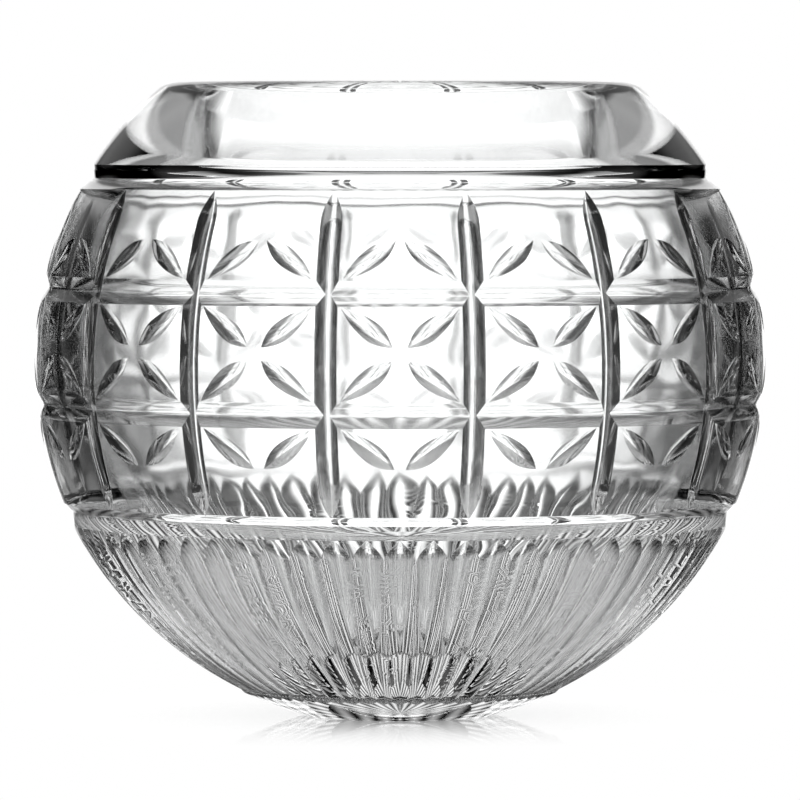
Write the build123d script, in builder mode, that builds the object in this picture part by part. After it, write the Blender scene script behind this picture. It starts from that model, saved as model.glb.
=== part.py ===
# Rose bowl vase of clear cut crystal: one thick-walled globe, cut on the wheel.
# Millimetres, +Z up, origin at the middle of the foot on the table.

import math
import os

from build123d import *

# Blank: a globe with a ground foot and an open mouth
globe_radius = 101.6
foot_radius = 26.0
overall_height = 176.0
lip_outer_round = 6.6

# Cavity: a smaller globe, lifted to leave a heavier base
cavity_radius = 89.6
base_thickness = 13.6

# Collar: its inner side slopes straight in from a rounded shoulder to the mouth
mouth_radius = 50.0
collar_lean = 43.9
shoulder_radius = 50.0
lip_inner_round = 4.7

# Foot: a flat ring round a shallow polished hollow
foot_ring_width = 6.0
foot_hollow_depth = 1.4

# Every cutter stands this far out of the glass
overrun = 1.0

# Shoulder ring: the mitre between the collar and the band
shoulder_ring_latitude = 31.0
shoulder_ring_depth = 2.2
shoulder_ring_above = 3.1
shoulder_ring_below = 4.6

# Upper and lower band rings: the mitres that cross the uprights
upper_ring_latitude = 12.0
upper_ring_depth = 1.5
upper_ring_above = 3.4
upper_ring_below = 3.6
lower_ring_latitude = -6.5
lower_ring_depth = 1.4
lower_ring_above = 3.5
lower_ring_below = 3.4

# Hip ring: the mitre between the band and the flutes
hip_ring_latitude = -24.3
hip_ring_depth = 1.4
hip_ring_above = 3.3
hip_ring_below = 3.6

# Upright mitre cuts that part the band into panels
upright_count = 16
upright_depth = 2.0
upright_half_angle = 57.0
upright_wheel_radius = 32.0
upright_top_latitude = 28.3
upright_bottom_latitude = -22.7

# Leaf cuts: four fan out from each crossing of an upright with a band ring
leaf_depth = 1.6
leaf_half_angle = 60.0
leaf_slope = 37.5
leaf_side_offset = 12.2
leaf_rise_offset = 10.2
leaf_point_wheel_radius = 55.0
leaf_round_wheel_radius = 20.0

# Flutes: upright mitres round the lower bowl that meet in sharp ridges
flute_count = 64
flute_top_depth = 2.6
flute_foot_depth = 1.75
flute_half_angle = 60.0
flute_top_wheel_radius = 13.5
flute_foot_wheel_radius = 4.0
flute_top_latitude = -26.3
flute_foot_latitude = -65.5

# Heights and angles that follow from the sizes above
globe_height = math.sqrt(globe_radius**2 - foot_radius**2)
cavity_height = base_thickness + cavity_radius
foot_angle = -math.degrees(math.acos(foot_radius / globe_radius))
mouth_angle = math.degrees(math.asin((overall_height - globe_height) / globe_radius))
collar_turn = math.radians(collar_lean)
mouth_rise = overall_height - cavity_height
collar_reach = mouth_radius * math.cos(collar_turn) + mouth_rise * math.sin(collar_turn)
bend_share = (collar_reach - shoulder_radius) / (cavity_radius - shoulder_radius)
shoulder_bend = math.degrees(math.acos(bend_share))
hollow_reach = foot_radius - foot_ring_width
hollow_radius = (hollow_reach**2 + foot_hollow_depth**2) / (2 * foot_hollow_depth)
panel_pitch = 360 / upright_count


def globe_point(latitude, depth=0.0):
    """Point in the XZ plane, this deep under the skin of the globe."""
    reach = globe_radius - depth
    turn = math.radians(latitude)
    return Vector(reach * math.cos(turn), globe_height + reach * math.sin(turn))


def wheel_turn(wheel_radius, depth):
    """Degrees that a wheel, sunk this deep, turns from its lowest point until it is clear."""
    reach = globe_radius - depth + wheel_radius
    clear = globe_radius + overrun
    return math.degrees(math.acos((reach**2 + wheel_radius**2 - clear**2) / (2 * reach * wheel_radius)))


def wheel_half_cut(wheel_radius, depth):
    """Degrees of latitude from a wheel's lowest point to the tip where its cut runs out."""
    reach = globe_radius - depth + wheel_radius
    cosine = (reach**2 + globe_radius**2 - wheel_radius**2) / (2 * reach * globe_radius)
    return math.degrees(math.acos(cosine))


def ring_cutter(latitude, depth, above, below):
    """Ring with a V section that opens past the skin on both flanks."""
    valley = globe_point(latitude, depth)
    top_edge = globe_point(latitude + math.degrees(above / globe_radius))
    low_edge = globe_point(latitude - math.degrees(below / globe_radius))
    top_out = top_edge + (top_edge - valley).normalized() * overrun
    low_out = low_edge + (low_edge - valley).normalized() * overrun
    with BuildPart() as cutter:
        with BuildSketch(Plane.XZ):
            with BuildLine():
                Polyline(valley, top_out, low_out, close=True)
            make_face()
        revolve(axis=Axis.Z)
    return cutter.part


def entry_arc(latitude, depth, wheel_radius):
    """Path of a wheel coming down to its lowest point at this latitude."""
    turn = wheel_turn(wheel_radius, depth)
    centre = globe_point(latitude, depth - wheel_radius)
    return CenterArc((centre.X, centre.Y), wheel_radius, latitude + 180 - turn, turn)


def vee_along(entry, valley, rise, half_angle):
    """Solid V that follows a valley line from its entry, with its open side outwards."""
    spread = rise * math.tan(math.radians(half_angle))
    with BuildPart() as cutter:
        with BuildSketch(Plane(entry @ 0, x_dir=(0, 1, 0), z_dir=entry % 0)):
            with BuildLine():
                Polyline((0, 0), (spread, rise), (-spread, rise), close=True)
            make_face()
        sweep(path=valley.line)
    return cutter.part


def long_cutter(top, foot, top_depth, foot_depth, top_wheel, foot_wheel, half_angle):
    """Cutter for a long mitre on the meridian at azimuth 0, between two pointed tips."""
    start = top - wheel_half_cut(top_wheel, top_depth)
    span = math.radians(start - foot - wheel_half_cut(foot_wheel, foot_depth))

    # The valley is one arc that reaches the foot depth at its far end
    near = globe_radius - top_depth
    far = globe_radius - foot_depth
    valley_radius = near + (far**2 - near**2) / (2 * (near - far * math.cos(span)))
    valley_turn = math.degrees(math.asin(far * math.sin(span) / valley_radius))

    with BuildLine(Plane.XZ) as valley:
        entry = entry_arc(start, top_depth, top_wheel)
        floor = JernArc(entry @ 1, entry % 1, valley_radius, -valley_turn)
        JernArc(floor @ 1, floor % 1, foot_wheel, wheel_turn(foot_wheel, foot_depth))
    return vee_along(entry, valley, max(top_depth, foot_depth) + overrun, half_angle)


def leaf_cutter():
    """Cutter for one leaf, deepest at azimuth 0 and latitude 0, with its point upwards."""
    round_turn = wheel_turn(leaf_round_wheel_radius, leaf_depth)
    with BuildLine(Plane.XZ) as valley:
        entry = entry_arc(0, leaf_depth, leaf_point_wheel_radius)
        JernArc(entry @ 1, entry % 1, leaf_round_wheel_radius, round_turn)
    return vee_along(entry, valley, leaf_depth + overrun, leaf_half_angle)


def leaf_places():
    """Where each leaf is deepest, turned so that its point meets the crossing."""
    middle = Location((0, 0, globe_height))
    slope = math.radians(leaf_slope)
    places = []
    for ring_latitude in (upper_ring_latitude, lower_ring_latitude):
        for side in (-1, 1):
            for rise in (-1, 1):
                latitude = ring_latitude + rise * math.degrees(leaf_rise_offset / globe_radius)
                parallel = globe_radius * math.cos(math.radians(latitude))
                azimuth = side * math.degrees(leaf_side_offset / parallel)
                turn = math.degrees(math.atan2(side * math.cos(slope), -rise * math.sin(slope)))
                for index in range(upright_count):
                    spin = azimuth + (index + 0.5) * panel_pitch
                    place = Rot(Z=spin) * Rot(Y=-latitude) * Rot(X=turn)
                    places.append(middle * place * middle.inverse())
    return places


# Cutters, each one the sweep or the revolution of a V
shoulder_ring = ring_cutter(
    shoulder_ring_latitude, shoulder_ring_depth, shoulder_ring_above, shoulder_ring_below
)
upper_ring = ring_cutter(upper_ring_latitude, upper_ring_depth, upper_ring_above, upper_ring_below)
lower_ring = ring_cutter(lower_ring_latitude, lower_ring_depth, lower_ring_above, lower_ring_below)
hip_ring = ring_cutter(hip_ring_latitude, hip_ring_depth, hip_ring_above, hip_ring_below)
upright = long_cutter(
    upright_top_latitude,
    upright_bottom_latitude,
    upright_depth,
    upright_depth,
    upright_wheel_radius,
    upright_wheel_radius,
    upright_half_angle,
)
leaf = leaf_cutter()
flute = long_cutter(
    flute_top_latitude,
    flute_foot_latitude,
    flute_top_depth,
    flute_foot_depth,
    flute_top_wheel_radius,
    flute_foot_wheel_radius,
    flute_half_angle,
)

with BuildPart() as crystal_bowl:
    # Globe with its cavity, cut flat at the foot and the mouth
    with BuildSketch(Plane.XZ) as wall:
        with BuildLine():
            skin = CenterArc((0, globe_height), globe_radius, foot_angle, mouth_angle - foot_angle)
            cavity_sweep = 90 + collar_lean - shoulder_bend
            cavity = CenterArc((0, cavity_height), cavity_radius, -90, cavity_sweep)
            shoulder = JernArc(cavity @ 1, cavity % 1, shoulder_radius, shoulder_bend)
            Polyline(shoulder @ 1, (mouth_radius, overall_height), skin @ 1)
            Polyline(cavity @ 0, (0, 0), skin @ 0)
        make_face()
        fillet(wall.vertices().group_by(Axis.Y)[-1].sort_by(Axis.X)[-1], lip_outer_round)
        fillet(wall.vertices().group_by(Axis.Y)[-1].sort_by(Axis.X)[0], lip_inner_round)
    revolve(axis=Axis.Z)

    # Shallow hollow that leaves the foot as a ring
    with Locations((0, 0, foot_hollow_depth - hollow_radius)):
        Sphere(hollow_radius, mode=Mode.SUBTRACT)

    # Mitre rings round the globe
    add([shoulder_ring, upper_ring, lower_ring, hip_ring], mode=Mode.SUBTRACT)

    # Upright mitres between the panels
    with PolarLocations(0, upright_count, start_angle=panel_pitch / 2):
        add(upright, mode=Mode.SUBTRACT)

    # Leaves at every crossing
    with Locations(*leaf_places()):
        add(leaf, mode=Mode.SUBTRACT)

    # Flutes down the lower bowl
    with PolarLocations(0, flute_count):
        add(flute, mode=Mode.SUBTRACT)

crystal_bowl.part.label = "crystal_bowl"

os.makedirs("parts", exist_ok=True)
export_step(crystal_bowl.part, "parts/crystal_bowl.step")
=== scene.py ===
import math
from math import cos, pi, radians, sin

import bmesh
import bpy
import numpy as np
from bpy.props import FloatProperty, FloatVectorProperty, IntProperty, PointerProperty
from bpy.types import Operator, Panel, PropertyGroup
from mathutils import Matrix, Vector


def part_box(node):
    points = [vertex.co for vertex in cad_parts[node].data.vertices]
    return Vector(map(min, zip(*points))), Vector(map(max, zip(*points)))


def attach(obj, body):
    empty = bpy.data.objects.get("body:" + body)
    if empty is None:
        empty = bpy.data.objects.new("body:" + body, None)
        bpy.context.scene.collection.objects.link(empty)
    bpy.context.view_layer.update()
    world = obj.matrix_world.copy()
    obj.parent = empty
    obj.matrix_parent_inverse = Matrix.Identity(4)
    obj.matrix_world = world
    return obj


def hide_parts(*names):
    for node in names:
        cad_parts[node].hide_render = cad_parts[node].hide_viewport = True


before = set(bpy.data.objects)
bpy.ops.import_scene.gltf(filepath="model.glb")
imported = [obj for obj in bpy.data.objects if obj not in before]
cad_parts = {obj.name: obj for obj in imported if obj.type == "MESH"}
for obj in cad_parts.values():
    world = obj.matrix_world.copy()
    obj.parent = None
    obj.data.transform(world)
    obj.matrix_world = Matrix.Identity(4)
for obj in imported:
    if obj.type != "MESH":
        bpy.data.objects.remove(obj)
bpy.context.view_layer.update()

bl_info = {
    "name": "Cut crystal rose bowl",
    "version": (1, 0, 0),
    "blender": (4, 5, 0),
    "location": "3D View > Sidebar > Rose Bowl",
    "description": "Blows, cuts and polishes a round crystal rose bowl, and sets it on a pale table",
    "category": "Object",
}

GLASS_NODE = "crystal_bowl"
GLASS_PIECE = "cut_crystal"
FACING = "facing"
MM = 0.001
GLASS_LOW, GLASS_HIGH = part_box(GLASS_NODE)
GLOBE_RADIUS = (GLASS_HIGH.x - GLASS_LOW.x) / 2
BOWL_HEIGHT = GLASS_HIGH.z - GLASS_LOW.z

# How finely the mesh follows each curve
TURN_STEPS = 288
GLOBE_STEPS = 110
CAVITY_STEPS = 60
SHOULDER_STEPS = 24
LIP_STEPS = 12
INNER_LIP_STEPS = 16
HOLLOW_STEPS = 8
VALLEY_STEPS = 40
RUN_OUT_STEPS = 12
LEAF_STEPS = 14
SEAM = radians(0.75)
WELD = MM / 1000
EDGE_SAMPLES = 4

# How far outside the cavity's globe a point still counts as its skin
INSIDE_FULL, INSIDE_ENDS = 2 * MM, 4 * MM

# Directions in the room, from straight behind the bowl and up from the table
FRONT_STARTS, FRONT_FULL = radians(105), radians(132)
FRONT_TOP = radians(55)
SIDE_MIDDLE, SIDE_CORE, SIDE_EDGE = radians(92), radians(8), radians(20)
TOP_STARTS, TOP_FULL = radians(45), radians(75)
PANE_FADE = radians(30)
PANE_OVERHEAD = 0.2
FRONT_OVERHEAD = 0.22
HALO_CORE, HALO_EDGE = radians(34), radians(48)
HALO_LOW, HALO_LOW_FULL = radians(4), radians(14)
HALO_HIGH, HALO_HIGH_FULL = radians(55), radians(38)

# Distances on the table, in metres from the middle of the foot
NEAR_ENDS, AWAY_STARTS = 0.08, 0.25
BACK_ENDS, FAR_STARTS = 0.5, 1.5


# Sizes


def length(name, description, millimetres):
    """A size that shows in the user's own units."""
    return FloatProperty(name=name, description=description, default=millimetres * MM, min=0, unit="LENGTH")


def angle(name, description, degrees):
    """An angle or a latitude on the globe."""
    return FloatProperty(name=name, description=description, default=radians(degrees), subtype="ANGLE")


def count(name, description, number):
    """How many copies stand round the bowl."""
    return IntProperty(name=name, description=description, default=number, min=3)


def share(name, description, amount):
    """A brightness or a part of a whole."""
    return FloatProperty(name=name, description=description, default=amount, min=0, subtype="FACTOR")


def by_valley(amount):
    """Polish at the bottom of a cut."""
    return share("By the valley", "Tilt of the flank by its valley, as a share of its ground tilt", amount)


def by_edge(amount):
    """Polish at the edge of a cut."""
    return share("By the edge", "Tilt of the flank by its edge, as a share of its ground tilt", amount)


class BlankSizes(PropertyGroup):
    globe_radius: length("Globe radius", "Radius of the globe that the outside follows", GLOBE_RADIUS / MM)
    height: length("Height", "Height of the ground mouth over the table", BOWL_HEIGHT / MM)
    foot_radius: length("Foot radius", "Radius of the flat that the bowl stands on", 26.0)
    foot_ring_width: length("Foot ring width", "Width of the ring round the foot's hollow", 6.0)
    foot_hollow_depth: length("Foot hollow depth", "Rise of the polished hollow under the foot", 1.4)
    lip_outer_round: length("Outer lip round", "Fire-polished round outside the mouth", 6.6)
    lip_inner_round: length("Inner lip round", "Fire-polished round inside the mouth", 4.7)
    mouth_radius: length("Mouth radius", "Where the collar's inner slope meets the plane of the mouth", 50.0)
    collar_lean: angle("Collar lean", "Angle between the collar's inner slope and upright", 43.9)
    shoulder_radius: length("Shoulder radius", "Radius of the bend from the collar into the cavity", 50.0)
    cavity_radius: length("Cavity radius", "Radius of the globe that the inside follows", 89.6)
    base_thickness: length("Base thickness", "Crystal under the cavity", 13.6)


class RingSizes(PropertyGroup):
    shoulder_latitude: angle("Shoulder latitude", "Latitude of the shoulder ring's valley", 31.0)
    shoulder_depth: length("Shoulder depth", "Depth of the shoulder ring", 2.2)
    shoulder_above: length("Shoulder above", "Width of the shoulder ring over its valley", 3.1)
    shoulder_below: length("Shoulder below", "Width of the shoulder ring under its valley", 4.6)
    upper_latitude: angle("Upper latitude", "Latitude of the upper band ring", 12.0)
    upper_depth: length("Upper depth", "Depth of the upper band ring", 1.5)
    upper_above: length("Upper above", "Width of the upper band ring over its valley", 3.4)
    upper_below: length("Upper below", "Width of the upper band ring under its valley", 3.6)
    lower_latitude: angle("Lower latitude", "Latitude of the lower band ring", -6.5)
    lower_depth: length("Lower depth", "Depth of the lower band ring", 1.4)
    lower_above: length("Lower above", "Width of the lower band ring over its valley", 3.5)
    lower_below: length("Lower below", "Width of the lower band ring under its valley", 3.4)
    hip_latitude: angle("Hip latitude", "Latitude of the hip ring's valley", -24.3)
    hip_depth: length("Hip depth", "Depth of the hip ring", 1.4)
    hip_above: length("Hip above", "Width of the hip ring over its valley", 3.3)
    hip_below: length("Hip below", "Width of the hip ring under its valley", 3.6)
    by_valley: by_valley(0.35)
    by_edge: by_edge(1.6)


class UprightSizes(PropertyGroup):
    number: count("Uprights", "Upright mitres round the band", 16)
    depth: length("Depth", "Depth of an upright mitre", 2.0)
    half_angle: angle("Half angle", "Half of the angle between an upright's flanks", 57.0)
    wheel_radius: length("Wheel radius", "Radius of the wheel at both ends of an upright", 32.0)
    top_latitude: angle("Top latitude", "Latitude of an upright's upper tip", 28.3)
    foot_latitude: angle("Bottom latitude", "Latitude of an upright's lower tip", -22.7)
    by_valley: by_valley(0.35)
    by_edge: by_edge(2.5)


class LeafSizes(PropertyGroup):
    depth: length("Depth", "Depth of a leaf at its middle", 1.6)
    half_angle: angle("Half angle", "Half of the angle between a leaf's flanks", 60.0)
    slope: angle("Slope", "Angle between a leaf and the rings", 37.5)
    side_offset: length("Side offset", "From the crossing to a leaf's deepest point, along the ring", 12.2)
    rise_offset: length("Rise offset", "From the crossing to a leaf's deepest point, along the upright", 10.2)
    point_wheel_radius: length("Point wheel radius", "Wheel that draws out a leaf's point", 55.0)
    round_wheel_radius: length("Round wheel radius", "Wheel that rounds a leaf's other end", 20.0)
    by_valley: by_valley(0.25)
    by_edge: by_edge(2.6)


class FluteSizes(PropertyGroup):
    number: count("Flutes", "Flutes round the lower bowl", 64)
    top_depth: length("Top depth", "Depth of a flute under its upper tip", 2.6)
    foot_depth: length("Foot depth", "Depth of a flute above its lower tip", 1.75)
    half_angle: angle("Half angle", "Half of the angle between a flute's flanks", 60.0)
    top_wheel_radius: length("Top wheel radius", "Radius of the wheel at a flute's upper tip", 13.5)
    foot_wheel_radius: length("Foot wheel radius", "Radius of the wheel at a flute's lower tip", 4.0)
    top_latitude: angle("Top latitude", "Latitude of a flute's upper tip", -26.3)
    foot_latitude: angle("Bottom latitude", "Latitude of a flute's lower tip", -65.5)
    by_valley: by_valley(0.35)
    by_edge: by_edge(2.4)


class CrystalLook(PropertyGroup):
    tint: FloatVectorProperty(
        name="Tint",
        description="Colour that light takes on where it passes into the crystal",
        default=(0.985, 0.99, 0.99),
        min=0,
        max=1,
        subtype="COLOR",
    )
    ior: FloatProperty(name="IOR", description="Refractive index of the crystal", default=1.54, min=1, max=2)
    edge_round: length("Edge round", "How far the polish softens every cut edge", 0.2)
    haze: share("Haze", "How rough the blown inside is behind the band", 0.11)
    wave_height: length("Wave height", "Height of the waves on the blown inside", 0.4)
    waves_start: length("Waves start", "Height at which the waves begin", 40.0)
    waves_full: length("Waves full", "Height over which the waves have their full strength", 55.0)
    haze_starts: length("Haze starts", "Height at which the haze begins", 58.0)
    haze_full: length("Haze full", "Height over which the haze has its full strength", 78.0)
    band_top: length("Band top", "Height up to which haze and waves have their full strength", 135.0)
    collar_starts: length("Collar starts", "Height over which the inside is clear", 150.0)
    wave_scale: FloatProperty(name="Wave scale", description="Waves to a metre", default=60, min=1)


class StageSizes(PropertyGroup):
    view_distance: length("View distance", "From the bowl's axis to the camera", 2088.0)
    view_height: length("View height", "Height of the camera over the table", 160.0)
    aim_height: length("Aim height", "Height of the middle of the picture", 87.6)
    picture_width: length("Picture width", "Width that the picture takes in at the bowl", 222.7)
    table_reach: length("Table reach", "From the bowl to every edge of the table", 8000.0)
    table_colour: FloatVectorProperty(
        name="Table colour",
        description="Colour of the pale table",
        default=(1.0, 1.0, 1.0),
        min=0,
        max=1,
        subtype="COLOR",
    )
    table_gloss: share("Table gloss", "Roughness of the table's shine", 0.03)
    table_shine: share("Table shine", "Strength of the table's shine by the foot", 0.5)
    table_shade: share("Table shade", "Strength of the shadow and the shine round the foot", 0.9)
    shade_reach: length("Shade reach", "How far the shadow and the shine reach from the middle", 120.0)
    table_core: angle("Table core", "From straight behind to where the table starts to dim", 8)
    table_edge: angle("Table edge", "From straight behind to where the table is dark", 24)
    # Brightness of the table's painted glow, which only glass and gloss see
    table_near: share("Table near", "Brightness of the table by the bowl, seen through the glass", 0.5)
    # Painted streaks of light and shade in the table's glow that the glass sees, standing in for light that
    # the flutes would throw
    streaks: count("Streaks", "Streaks of light that the flutes throw on the table", 32)
    streak_share: share("Streak share", "How far the streaks brighten and darken the table", 1.0)
    table_back: share("Table back", "Brightness of the table behind, seen through the glass", 1.0)
    table_far: share("Table far", "Brightness of the table far behind, seen through the glass", 1.15)
    table_front: share("Table front", "Brightness of the table in front, seen through the glass", 0.68)
    window: share("Window", "Brightness of the window behind the bowl", 1.25)
    window_core: angle("Window core", "From the window's middle to where it starts to dim", 12)
    window_edge: angle("Window edge", "From the window's middle to where it ends", 17)
    window_top: angle("Window top", "Elevation up to which the window is bright", 22)
    halo: share("Halo", "Brightness beside the upper half of the window", 0.35)
    front: share("Front", "Brightness in front of the bowl", 0.55)
    side: share("Side", "Brightness of the windows at both sides", 0.5)
    top: share("Top", "Brightness overhead", 0.2)
    walls: share("Walls", "Brightness of the walls between the windows", 0.0)


# Shader maths


class Socket:
    """A node's output that takes part in Python sums."""

    def __init__(self, graph, output):
        self.graph = graph
        self.output = output

    def sum_with(self, operation, *values):
        return self.graph.add("ShaderNodeMath", {"operation": operation}, *values)

    def __add__(self, other):
        return self.sum_with("ADD", self, other)

    def __radd__(self, other):
        return self.sum_with("ADD", other, self)

    def __sub__(self, other):
        return self.sum_with("SUBTRACT", self, other)

    def __rsub__(self, other):
        return self.sum_with("SUBTRACT", other, self)

    def __mul__(self, other):
        return self.sum_with("MULTIPLY", self, other)

    def __rmul__(self, other):
        return self.sum_with("MULTIPLY", other, self)


class Graph:
    """The node tree of a material or a world, emptied and filled again."""

    def __init__(self, owner):
        owner.use_nodes = True
        self.tree = owner.node_tree
        self.tree.nodes.clear()

    def add(self, kind, settings=None, *values, output=0, **named):
        """Adds a node: its settings first, then values or links by socket order or by name."""
        node = self.tree.nodes.new(kind)
        for key, value in (settings or {}).items():
            setattr(node, key, value)
        sockets = list(enumerate(values))
        sockets += [(key.replace("_", " "), value) for key, value in named.items()]
        for key, value in sockets:
            if isinstance(value, Socket):
                self.tree.links.new(value.output, node.inputs[key])
            else:
                node.inputs[key].default_value = value
        return Socket(self, node.outputs[output]) if node.outputs else node

    def fade(self, value, start, end):
        """0 before start and 1 after end, with a smooth step between."""
        return self.add(
            "ShaderNodeMapRange",
            {"interpolation_type": "SMOOTHSTEP"},
            value,
            **{"From_Min": start, "From_Max": end},
        )


# Surfaces that know the true direction of the polished glass


def arc(centre, radius, start, end, steps, facing=1):
    """Points along an arc, and the direction that the surface faces at each."""
    turns = np.linspace(start, end, steps + 1)
    rays = np.column_stack((np.cos(turns), np.sin(turns)))
    return np.array(centre) + radius * rays, facing * rays


def flat(start, end, facing, other=None):
    """Two points, and the direction that the surface faces at each."""
    facings = np.array((facing, facing if other is None else other), float)
    return np.array((start, end)), facings / np.linalg.norm(facings, axis=1)[:, None]


def solid(name, points, faces, facings):
    """Mesh object whose corners carry the direction that the glass faces there."""
    mesh = bpy.data.meshes.new(name)
    mesh.from_pydata(points.tolist(), [], faces)
    layer = mesh.attributes.new(FACING, "FLOAT_VECTOR", "CORNER")
    layer.data.foreach_set("vector", facings.astype(np.float32).ravel())
    piece = bpy.data.objects.new(name, mesh)
    bpy.context.scene.collection.objects.link(piece)
    return piece


def lathe(name, strips):
    """Turns a closed chain of strips round the Z axis and welds their seams."""
    turns = SEAM + np.arange(TURN_STEPS + 1) * 2 * pi / TURN_STEPS
    spin_x, spin_y = np.cos(turns)[:, None], np.sin(turns)[:, None]
    points, facings, faces = [], [], []
    for places, directions in strips:
        first = sum(len(block) for block in points)
        for table, pairs in ((points, places), (facings, directions)):
            r, z = pairs[:, 0], pairs[:, 1]
            block = np.stack((spin_x * r, spin_y * r, np.ones_like(spin_x) * z), axis=2)
            table.append(block.reshape(-1, 3))
        rows = len(places)
        step, row = np.meshgrid(np.arange(TURN_STEPS), np.arange(rows - 1), indexing="ij")
        corner = first + step.ravel() * rows + row.ravel()
        faces.append(np.column_stack((corner, corner + rows, corner + rows + 1, corner + 1)))
    points, facings, faces = (np.concatenate(blocks) for blocks in (points, facings, faces))
    piece = solid(name, points, faces.tolist(), facings[faces.ravel()])

    weld = bmesh.new()
    weld.from_mesh(piece.data)
    bmesh.ops.remove_doubles(weld, verts=weld.verts, dist=WELD)
    weld.to_mesh(piece.data)
    weld.free()
    return piece


def glass_in(mesh):
    """Volume of the glass."""
    work = bmesh.new()
    work.from_mesh(mesh)
    volume = work.calc_volume()
    work.free()
    return volume


def cut(piece, cutter):
    """Takes the cutter out of the piece, and leaves the cutter's facings on the new flanks."""
    grind = piece.modifiers.new("grind", "BOOLEAN")
    grind.operation = "DIFFERENCE"
    grind.solver = "MANIFOLD"
    grind.object = cutter
    view = bpy.context.evaluated_depsgraph_get()
    mesh = bpy.data.meshes.new_from_object(piece.evaluated_get(view))
    piece.modifiers.remove(grind)
    if not 0 < glass_in(mesh) < glass_in(piece.data):
        raise RuntimeError("the cutter " + cutter.name + " took no glass away")
    spent = (piece.data, cutter.data)
    piece.data = mesh
    bpy.data.objects.remove(cutter)
    for old in spent:
        bpy.data.meshes.remove(old)
    mesh.name = GLASS_PIECE


# Cutting wheels


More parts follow.
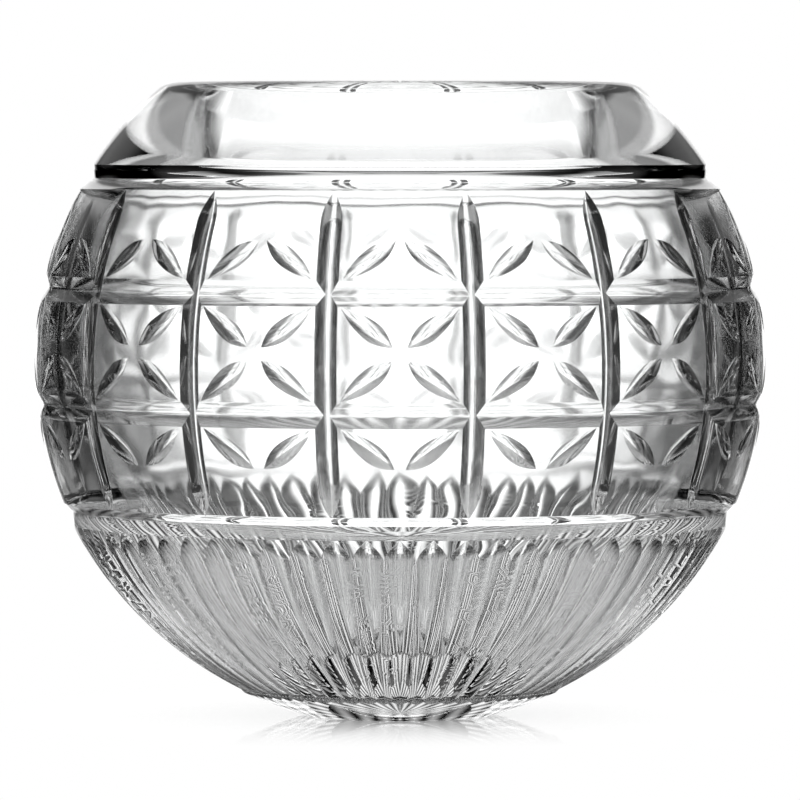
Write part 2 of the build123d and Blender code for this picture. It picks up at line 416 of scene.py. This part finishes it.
class Globe:
    """The globe that every cut is measured on."""

    overrun = MM

    def __init__(self, sizes):
        self.radius = sizes.globe_radius
        self.height = math.sqrt(self.radius**2 - sizes.foot_radius**2)

    def point(self, latitude, depth=0.0):
        reach = self.radius - depth
        return np.array((reach * cos(latitude), self.height + reach * sin(latitude)))

    def wheel_turn(self, wheel_radius, depth):
        """Angle that a wheel turns from its lowest point until it is clear of the glass."""
        reach = self.radius - depth + wheel_radius
        clear = self.radius + self.overrun
        return math.acos((reach**2 + wheel_radius**2 - clear**2) / (2 * reach * wheel_radius))

    def wheel_half_cut(self, wheel_radius, depth):
        """Latitude from a wheel's lowest point to the tip where its cut runs out."""
        reach = self.radius - depth + wheel_radius
        return math.acos((reach**2 + self.radius**2 - wheel_radius**2) / (2 * reach * self.radius))

    def ring(self, name, latitude, depth, above, below, sizes):
        """V-shaped ring that opens past the skin on both flanks."""
        valley = self.point(latitude, depth)
        edges = []
        for edge in (self.point(latitude - below / self.radius), self.point(latitude + above / self.radius)):
            flank = edge - valley
            edges.append(edge + flank / np.linalg.norm(flank) * self.overrun)
        low, top = edges
        low_lean, top_lean = math.atan2(depth, below), -math.atan2(depth, above)

        def facing(lean):
            return (cos(latitude + lean), sin(latitude + lean))

        strips = (
            flat(valley, low, facing(sizes.by_valley * low_lean), facing(sizes.by_edge * low_lean)),
            flat(low, top, (1, 0)),
            flat(top, valley, facing(sizes.by_edge * top_lean), facing(sizes.by_valley * top_lean)),
        )
        return lathe(name, strips)

    def long_valley(self, top, foot, top_depth, foot_depth, top_wheel, foot_wheel):
        """Floor of a long mitre down the meridian, between two pointed tips."""
        start = top - self.wheel_half_cut(top_wheel, top_depth)
        span = start - foot - self.wheel_half_cut(foot_wheel, foot_depth)
        near, far = self.radius - top_depth, self.radius - foot_depth
        shift = (far**2 - near**2) / (2 * (near - far * cos(span)))
        turn = math.asin(far * sin(span) / (near + shift))
        entry = start + pi - self.wheel_turn(top_wheel, top_depth)
        leave = start - turn + pi
        middle = -shift * np.array((cos(start), sin(start))) + (0, self.height)
        last = middle + (near + shift + foot_wheel) * np.array((cos(leave - pi), sin(leave - pi)))
        arcs = (
            arc(self.point(start, top_depth - top_wheel), top_wheel, entry, start + pi, RUN_OUT_STEPS, -1),
            arc(middle, near + shift, start, start - turn, VALLEY_STEPS),
            arc(last, foot_wheel, leave, leave + self.wheel_turn(foot_wheel, foot_depth), RUN_OUT_STEPS, -1),
        )
        return chain(arcs)

    def leaf_valley(self, depth, point_wheel, round_wheel):
        """Floor of one leaf, deepest at latitude 0, with its point upwards."""
        entry = pi - self.wheel_turn(point_wheel, depth)
        leave = pi + self.wheel_turn(round_wheel, depth)
        arcs = (
            arc(self.point(0, depth - point_wheel), point_wheel, entry, pi, LEAF_STEPS, -1),
            arc(self.point(0, depth - round_wheel), round_wheel, pi, leave, LEAF_STEPS, -1),
        )
        return chain(arcs)

    def mitres(self, name, valley, rise, sizes, turns):
        """V-shaped cutters along a valley, one for each turn, with the facings of hollow flanks."""
        floor, outward = valley
        steps = len(floor)
        spread = rise * math.tan(sizes.half_angle)
        section = np.zeros((steps, 3, 3))
        section[:, :, 0] = floor[:, :1]
        section[:, :, 2] = floor[:, 1:] - self.height
        section[:, 1:, 0] += rise * outward[:, :1]
        section[:, 1:, 2] += rise * outward[:, 1:]
        section[:, 1:, 1] = (spread, -spread)

        def facing(lean):
            across = np.full(steps, -sin(lean))
            return np.column_stack((cos(lean) * outward[:, 0], across, cos(lean) * outward[:, 1]))

        tilt = pi / 2 - sizes.half_angle
        low, high = sizes.by_valley * tilt, sizes.by_edge * tilt
        leans = ((low, high), (0, 0), (-high, -low))
        step = np.arange(steps - 1)
        faces, facings = [], []
        for side, (near_lean, far_lean) in enumerate(leans):
            near, far = 3 * step + side, 3 * step + (side + 1) % 3
            faces += np.column_stack((near, far, far + 3, near + 3)).tolist()
            this, that = facing(near_lean), facing(far_lean)
            facings.append(np.stack((this[:-1], that[:-1], that[1:], this[1:]), axis=1).reshape(-1, 3))
        last = 3 * (steps - 1)
        faces += [[0, 2, 1], [last, last + 1, last + 2]]
        facings += [facing(0)[:1].repeat(3, axis=0), facing(0)[-1:].repeat(3, axis=0)]
        section, facings = section.reshape(-1, 3), np.concatenate(facings)

        points, copies, directions = [], [], []
        for number, turn in enumerate(turns):
            turn = np.array(turn.to_3x3())
            points.append(section @ turn.T + (0, 0, self.height))
            directions.append(facings @ turn.T)
            copies += [[corner + number * len(section) for corner in face] for face in faces]
        return solid(name, np.concatenate(points), copies, np.concatenate(directions))


def chain(arcs):
    """Joins arcs that end where the next begins."""
    points = np.concatenate([arcs[0][0]] + [places[1:] for places, _ in arcs[1:]])
    outward = np.concatenate([arcs[0][1]] + [directions[1:] for _, directions in arcs[1:]])
    return points, outward


def round_the_bowl(number, start=0.0, stride=1, first=0):
    """Turns about the Z axis, evenly round the bowl."""
    return [Matrix.Rotation(start + k * 2 * pi / number, 4, "Z") for k in range(first, number, stride)]


# Steps of the work


class BOWL_OT_blank(Operator):
    """Blow the thick globe, crack it off at the mouth and grind its foot flat"""

    bl_idname = "rose_bowl.blank"
    bl_label = "Blow the Blank"

    def execute(self, context):
        sizes = context.scene.bowl_blank
        globe = Globe(sizes)
        middle = (0, globe.height)
        cavity = np.array((0, sizes.base_thickness + sizes.cavity_radius))

        hollow_reach = sizes.foot_radius - sizes.foot_ring_width
        hollow_radius = (hollow_reach**2 + sizes.foot_hollow_depth**2) / (2 * sizes.foot_hollow_depth)
        hollow_middle = (0, sizes.foot_hollow_depth - hollow_radius)
        hollow_turn = math.acos(hollow_reach / hollow_radius)

        outer_height = sizes.height - sizes.lip_outer_round
        outer_lift = math.asin((outer_height - middle[1]) / (globe.radius - sizes.lip_outer_round))
        outer_reach = (globe.radius - sizes.lip_outer_round) * cos(outer_lift)
        foot_turn = -math.acos(sizes.foot_radius / globe.radius)

        lean = sizes.collar_lean
        across = np.array((cos(lean), sin(lean)))
        along = np.array((sin(lean), -cos(lean)))
        lip = sizes.lip_inner_round
        lip_middle = np.array((sizes.mouth_radius + lip * (1 + sin(lean)) / cos(lean), sizes.height - lip))
        over = np.array((sizes.mouth_radius, sizes.height)) - sizes.shoulder_radius * across - cavity
        reach = sizes.cavity_radius - sizes.shoulder_radius
        run = -over @ along + math.sqrt((over @ along) ** 2 - over @ over + reach**2)
        shoulder = cavity + over + run * along
        shoulder_turn = math.asin((shoulder[1] - cavity[1]) / reach)
        slope = (lip_middle - lip * across, shoulder + sizes.shoulder_radius * across)
        strips = (
            arc(hollow_middle, hollow_radius, pi / 2, hollow_turn, HOLLOW_STEPS, -1),
            flat((hollow_reach, 0), (sizes.foot_radius, 0), (0, -1)),
            arc(middle, globe.radius, foot_turn, outer_lift, GLOBE_STEPS),
            arc((outer_reach, outer_height), sizes.lip_outer_round, outer_lift, pi / 2, LIP_STEPS),
            flat((outer_reach, sizes.height), (lip_middle[0], sizes.height), (0, 1)),
            arc(lip_middle, lip, pi / 2, pi + lean, INNER_LIP_STEPS),
            flat(*slope, -across),
            arc(shoulder, sizes.shoulder_radius, lean, shoulder_turn, SHOULDER_STEPS, -1),
            arc(cavity, sizes.cavity_radius, shoulder_turn, -pi / 2, CAVITY_STEPS, -1),
        )
        lathe(GLASS_PIECE, strips)
        return {"FINISHED"}


class BOWL_OT_rings(Operator):
    """Cut the four mitre rings round the globe"""

    bl_idname = "rose_bowl.rings"
    bl_label = "Cut the Rings"

    def execute(self, context):
        globe = Globe(context.scene.bowl_blank)
        sizes = context.scene.bowl_rings
        for name in ("shoulder", "upper", "lower", "hip"):
            measures = [getattr(sizes, name + part) for part in ("_latitude", "_depth", "_above", "_below")]
            cut(bpy.data.objects[GLASS_PIECE], globe.ring(name + "_ring", *measures, sizes))
        return {"FINISHED"}


class BOWL_OT_uprights(Operator):
    """Cut the upright mitres that part the band into panels"""

    bl_idname = "rose_bowl.uprights"
    bl_label = "Cut the Uprights"

    def execute(self, context):
        globe = Globe(context.scene.bowl_blank)
        sizes = context.scene.bowl_uprights
        wheel = sizes.wheel_radius
        tips = sizes.top_latitude, sizes.foot_latitude
        valley = globe.long_valley(*tips, sizes.depth, sizes.depth, wheel, wheel)
        turns = round_the_bowl(sizes.number, first_panel(sizes))
        rise = sizes.depth + globe.overrun
        cut(bpy.data.objects[GLASS_PIECE], globe.mitres("uprights", valley, rise, sizes, turns))
        return {"FINISHED"}


class BOWL_OT_leaves(Operator):
    """Cut the leaves that fan out from each crossing of an upright with a band ring"""

    bl_idname = "rose_bowl.leaves"
    bl_label = "Cut the Leaves"

    def execute(self, context):
        globe = Globe(context.scene.bowl_blank)
        rings = context.scene.bowl_rings
        uprights = context.scene.bowl_uprights
        sizes = context.scene.bowl_leaves
        valley = globe.leaf_valley(sizes.depth, sizes.point_wheel_radius, sizes.round_wheel_radius)
        rise_over = sizes.depth + globe.overrun
        for ring in (rings.upper_latitude, rings.lower_latitude):
            for rise in (-1, 1):
                latitude = ring + rise * sizes.rise_offset / globe.radius
                turns = []
                for side in (-1, 1):
                    azimuth = side * sizes.side_offset / (globe.radius * cos(latitude))
                    lean = math.atan2(side * cos(sizes.slope), -rise * sin(sizes.slope))
                    place = Matrix.Rotation(-latitude, 4, "Y") @ Matrix.Rotation(lean, 4, "X")
                    for spin in round_the_bowl(uprights.number, azimuth + first_panel(uprights)):
                        turns.append(spin @ place)
                leaves = globe.mitres("leaves", valley, rise_over, sizes, turns)
                cut(bpy.data.objects[GLASS_PIECE], leaves)
        return {"FINISHED"}


class BOWL_OT_flutes(Operator):
    """Cut the flutes down the lower bowl, every fourth one at a time"""

    bl_idname = "rose_bowl.flutes"
    bl_label = "Cut the Flutes"

    def execute(self, context):
        globe = Globe(context.scene.bowl_blank)
        sizes = context.scene.bowl_flutes
        valley = globe.long_valley(
            sizes.top_latitude,
            sizes.foot_latitude,
            sizes.top_depth,
            sizes.foot_depth,
            sizes.top_wheel_radius,
            sizes.foot_wheel_radius,
        )
        rise = max(sizes.top_depth, sizes.foot_depth) + globe.overrun
        stride = 4
        for first in range(stride):
            turns = round_the_bowl(sizes.number, 0, stride, first)
            flutes = globe.mitres("flutes", valley, rise, sizes, turns)
            cut(bpy.data.objects[GLASS_PIECE], flutes)
        return {"FINISHED"}


class BOWL_OT_polish(Operator):
    """Polish every flank to its true curve and turn the piece into clear crystal"""

    bl_idname = "rose_bowl.polish"
    bl_label = "Polish the Crystal"

    def execute(self, context):
        bowl = bpy.data.objects[GLASS_PIECE]
        mesh = bowl.data
        facings = np.zeros(len(mesh.loops) * 3, dtype=np.float32)
        mesh.attributes[FACING].data.foreach_get("vector", facings)
        facings = facings.reshape(-1, 3)
        facings /= np.maximum(np.linalg.norm(facings, axis=1), 1e-9)[:, None]
        mesh.attributes.remove(mesh.attributes[FACING])
        mesh.normals_split_custom_set(facings.tolist())

        mesh.materials.clear()
        mesh.materials.append(clear_crystal(context.scene.bowl_crystal, context.scene.bowl_blank))
        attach(bowl, "root")
        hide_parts(GLASS_NODE)
        return {"FINISHED"}


class BOWL_OT_stage(Operator):
    """Set the bowl on a pale table in soft light, and point the camera at it"""

    bl_idname = "rose_bowl.stage"
    bl_label = "Set the Stage"

    def execute(self, context):
        scene = context.scene
        sizes = scene.bowl_stage
        reach = sizes.table_reach
        mesh = bpy.data.meshes.new("table_top")
        corners = [(-reach, -reach, 0), (reach, -reach, 0), (reach, reach, 0), (-reach, reach, 0)]
        mesh.from_pydata(corners, [], [(0, 1, 2, 3)])
        mesh.materials.append(pale_table(sizes))
        table = bpy.data.objects.new("table_top", mesh)
        scene.collection.objects.link(table)

        scene.world = soft_room(sizes)
        scene.view_settings.view_transform = "Standard"

        lens = bpy.data.cameras.new("camera")
        camera = bpy.data.objects.new("camera", lens)
        scene.collection.objects.link(camera)
        camera.location = (0, -sizes.view_distance, sizes.view_height)
        gaze = Vector((0, 0, sizes.aim_height)) - camera.location
        camera.rotation_euler = gaze.to_track_quat("-Z", "Y").to_euler()
        lens.sensor_width = 36
        lens.lens = lens.sensor_width * gaze.length / sizes.picture_width
        scene.camera = camera
        return {"FINISHED"}


def first_panel(uprights):
    """Half a panel, so that a panel and not an upright faces the front."""
    return pi / uprights.number


# Materials and light


def clear_crystal(look, blank):
    """Clear lead crystal: soft polished edges outside, faint waves and haze on the blown inside."""
    material = bpy.data.materials.new("clear_crystal")
    graph = Graph(material)
    place = graph.add("ShaderNodeTexCoord", output="Object")
    height = graph.add("ShaderNodeSeparateXYZ", None, place, output="Z")
    middle = (0, 0, blank.base_thickness + blank.cavity_radius)
    reach = graph.add("ShaderNodeVectorMath", {"operation": "DISTANCE"}, place, middle, output="Value")
    inside = graph.fade(reach, blank.cavity_radius + INSIDE_ENDS, blank.cavity_radius + INSIDE_FULL)
    below_collar = inside * graph.fade(height, look.collar_starts, look.band_top)
    hazy = below_collar * graph.fade(height, look.haze_starts, look.haze_full)
    wavy = below_collar * graph.fade(height, look.waves_start, look.waves_full)

    waves = graph.add("ShaderNodeTexNoise", None, place, Scale=look.wave_scale, Detail=1.0)
    edges = graph.add("ShaderNodeBevel", {"samples": EDGE_SAMPLES}, Radius=look.edge_round)
    skin = graph.add("ShaderNodeBump", None, Distance=look.wave_height, Height=waves * wavy, Normal=edges)
    surface = graph.add(
        "ShaderNodeBsdfPrincipled",
        Base_Color=(*look.tint, 1),
        Transmission_Weight=1.0,
        Roughness=look.haze * hazy,
        IOR=look.ior,
        Normal=skin,
    )
    graph.add("ShaderNodeOutputMaterial", None, surface)
    return material


def through_glass(graph):
    """1 for what glass and gloss see, 0 for the camera and for the light on the table."""
    glossy = graph.add("ShaderNodeLightPath", output="Is Glossy Ray")
    clear = graph.add("ShaderNodeLightPath", output="Is Transmission Ray")
    return graph.add("ShaderNodeMath", {"operation": "MAXIMUM"}, glossy, clear)


def compass(graph, x, y):
    """Angle from straight behind the bowl, round to either side."""
    turn = graph.add("ShaderNodeMath", {"operation": "ARCTAN2"}, x, y)
    return graph.add("ShaderNodeMath", {"operation": "ABSOLUTE"}, turn)


def pale_table(room):
    """Pale table top; the glass sees it as painted light, a glow that is dark at the sides, as the walls of
    the room are, and bright behind and in front.
    """
    material = bpy.data.materials.new("pale_table")
    graph = Graph(material)
    place = graph.add("ShaderNodeTexCoord", output="Object")
    x, y = (graph.add("ShaderNodeSeparateXYZ", None, place, output=axis) for axis in ("X", "Y"))
    reach = graph.add("ShaderNodeVectorMath", {"operation": "LENGTH"}, place, output="Value")
    azimuth = compass(graph, x, y)
    behind = graph.fade(azimuth, room.table_edge, room.table_core)
    far_off = graph.fade(reach, BACK_ENDS, FAR_STARTS)
    far = (room.table_back + (room.table_far - room.table_back) * far_off) * behind
    far = far + room.table_front * graph.fade(azimuth, FRONT_STARTS, FRONT_FULL)
    away = graph.fade(reach, NEAR_ENDS, AWAY_STARTS)
    # Painted streaks of light and shade in the table's glow round the foot, as the flutes would throw them
    rays = graph.add("ShaderNodeMath", {"operation": "SINE"}, azimuth * float(room.streaks))
    near = room.table_near * (1 + room.streak_share * rays)
    painted_table_glow = near * (1 - away) + far * away
    white = graph.add("ShaderNodeEmission", None, (*room.table_colour, 1), 1.0)
    polished = graph.add(
        "ShaderNodeBsdfPrincipled",
        Base_Color=(*room.table_colour, 1),
        Roughness=room.table_gloss,
        Specular_IOR_Level=room.table_shine,
    )
    shade = room.table_shade * graph.fade(reach, room.shade_reach, 0.0)
    lit = graph.add("ShaderNodeMixShader", None, shade, white, polished)
    # Painted light: for glass and gloss rays the table is black and glows, bright behind and in front and
    # dark at the sides, though it is no lamp
    seen = graph.add(
        "ShaderNodeBsdfPrincipled",
        Base_Color=(0, 0, 0, 1),
        Roughness=room.table_gloss,
        Emission_Color=painted_table_glow,
        Emission_Strength=1.0,
    )
    surface = graph.add("ShaderNodeMixShader", None, through_glass(graph), lit, seen)
    graph.add("ShaderNodeOutputMaterial", None, surface)
    return material


def soft_room(room):
    """White room, in which glass and gloss see a bright window behind and dim walls beside."""
    world = bpy.data.worlds.new("soft_room")
    graph = Graph(world)
    look = graph.add("ShaderNodeTexCoord")
    x, y, z = (graph.add("ShaderNodeSeparateXYZ", None, look, output=axis) for axis in "XYZ")
    azimuth = compass(graph, x, y)
    elevation = graph.add("ShaderNodeMath", {"operation": "ARCSINE"}, z)
    low = graph.fade(elevation, room.window_top + PANE_FADE, room.window_top)
    pane = graph.fade(azimuth, room.window_edge, room.window_core)
    window = room.window * pane
    window = window * (PANE_OVERHEAD + (1 - PANE_OVERHEAD) * low)
    raised = graph.fade(elevation, HALO_LOW, HALO_LOW_FULL)
    raised = raised * graph.fade(elevation, HALO_HIGH, HALO_HIGH_FULL)
    window = window + room.halo * raised * (graph.fade(azimuth, HALO_EDGE, HALO_CORE) - pane)
    front = graph.fade(azimuth, FRONT_STARTS, FRONT_FULL)
    low_front = graph.fade(elevation, FRONT_TOP, 0.0)
    front = front * (FRONT_OVERHEAD + (room.front - FRONT_OVERHEAD) * low_front)
    side_turn = graph.add("ShaderNodeMath", {"operation": "ABSOLUTE"}, azimuth - SIDE_MIDDLE)
    side = room.side * graph.fade(side_turn, SIDE_EDGE, SIDE_CORE)
    overhead = room.top * graph.fade(elevation, TOP_STARTS, TOP_FULL)
    seen = window + front + side + overhead + room.walls
    glass = through_glass(graph)
    light = graph.add("ShaderNodeBackground", None, (1, 1, 1, 1), 1 - glass + glass * seen)
    graph.add("ShaderNodeOutputWorld", None, light)
    return world


# Sidebar and start


GROUPS = {
    "bowl_blank": BlankSizes,
    "bowl_rings": RingSizes,
    "bowl_uprights": UprightSizes,
    "bowl_leaves": LeafSizes,
    "bowl_flutes": FluteSizes,
    "bowl_crystal": CrystalLook,
    "bowl_stage": StageSizes,
}
STEPS = (
    (BOWL_OT_blank, "bowl_blank"),
    (BOWL_OT_rings, "bowl_rings"),
    (BOWL_OT_uprights, "bowl_uprights"),
    (BOWL_OT_leaves, "bowl_leaves"),
    (BOWL_OT_flutes, "bowl_flutes"),
    (BOWL_OT_polish, "bowl_crystal"),
    (BOWL_OT_stage, "bowl_stage"),
)


class BOWL_PT_panel(Panel):
    """Sizes and steps of the rose bowl, in the order of the work"""

    bl_label = "Rose Bowl"
    bl_idname = "BOWL_PT_panel"
    bl_space_type = "VIEW_3D"
    bl_region_type = "UI"
    bl_category = "Rose Bowl"

    def draw(self, context):
        for step, group in STEPS:
            box = self.layout.box()
            box.operator(step.bl_idname)
            sizes = getattr(context.scene, group)
            for name in GROUPS[group].__annotations__:
                box.prop(sizes, name)


CLASSES = (*GROUPS.values(), *(step for step, _ in STEPS), BOWL_PT_panel)


def register():
    for cls in CLASSES:
        bpy.utils.register_class(cls)
    for name, group in GROUPS.items():
        setattr(bpy.types.Scene, name, PointerProperty(type=group))


def unregister():
    for name in GROUPS:
        delattr(bpy.types.Scene, name)
    for cls in reversed(CLASSES):
        bpy.utils.unregister_class(cls)


def main():
    register()
    bpy.ops.rose_bowl.blank()
    bpy.ops.rose_bowl.rings()
    bpy.ops.rose_bowl.uprights()
    bpy.ops.rose_bowl.leaves()
    bpy.ops.rose_bowl.flutes()
    bpy.ops.rose_bowl.polish()
    bpy.ops.rose_bowl.stage()


if __name__ == "__main__":
    main()
